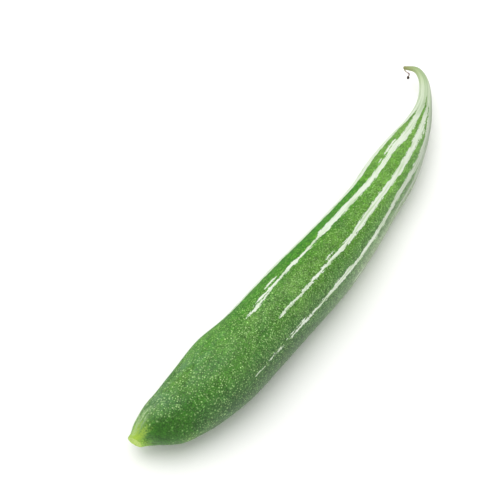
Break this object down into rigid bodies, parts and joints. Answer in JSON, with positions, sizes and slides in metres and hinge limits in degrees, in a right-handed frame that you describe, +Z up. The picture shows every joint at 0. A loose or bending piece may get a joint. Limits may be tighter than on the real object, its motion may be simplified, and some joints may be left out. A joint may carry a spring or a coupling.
{
  "type": "snake gourd",
  "caption": "Whole snake gourd lying on its side: a long, gently bent green fruit, thickest near its cut stalk, that thins into a hooked neck with a withered thread.",
  "frame": {"origin": "on the table, under the middle of the gourd's outline", "axes": "+X along the gourd, from its cut stalk to its neck; +Y to the side that the neck hooks to; +Z up from the table"},
  "size_m": [0.32, 0.0594, 0.0435],
  "materials": {
    "gourd_skin": "satin waxy skin, mid green with pale stripes and fine pale speckles",
    "withered_flower": "matt dry plant fibre"
  },
  "bodies": {
    "root": {"fruit": "gourd_skin", "withered_thread": "withered_flower"}
  },
  "joints": []
}
